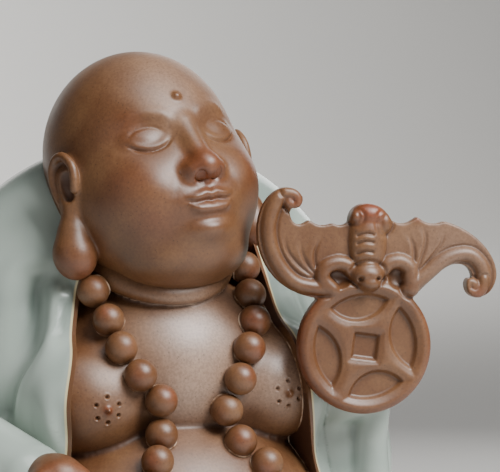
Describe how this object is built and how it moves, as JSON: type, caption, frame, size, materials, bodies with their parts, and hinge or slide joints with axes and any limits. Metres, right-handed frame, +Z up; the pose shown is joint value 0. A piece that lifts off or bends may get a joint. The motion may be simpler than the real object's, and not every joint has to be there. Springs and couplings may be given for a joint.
{
  "type": "seated figurine",
  "caption": "Seated budai figurine in brown stoneware and a celadon robe, with a bead string, holding up a bat-and-coin charm, on a low oval base.",
  "frame": {"origin": "middle of the flat underside of the oval base", "axes": "+Z up, -Y to the figure's front, +X towards the figure's left hand"},
  "size_m": [0.1905, 0.156, 0.2274],
  "materials": {
    "figure_stoneware": "smooth satin brown stoneware on the skin, the beads and the base; thick glossy grey-green celadon on the robe",
    "charm_stoneware": "smooth satin brown stoneware, redder on the raised parts"
  },
  "bodies": {
    "root": {"figure": "figure_stoneware", "bat_and_coin_charm": "charm_stoneware"}
  },
  "joints": []
}
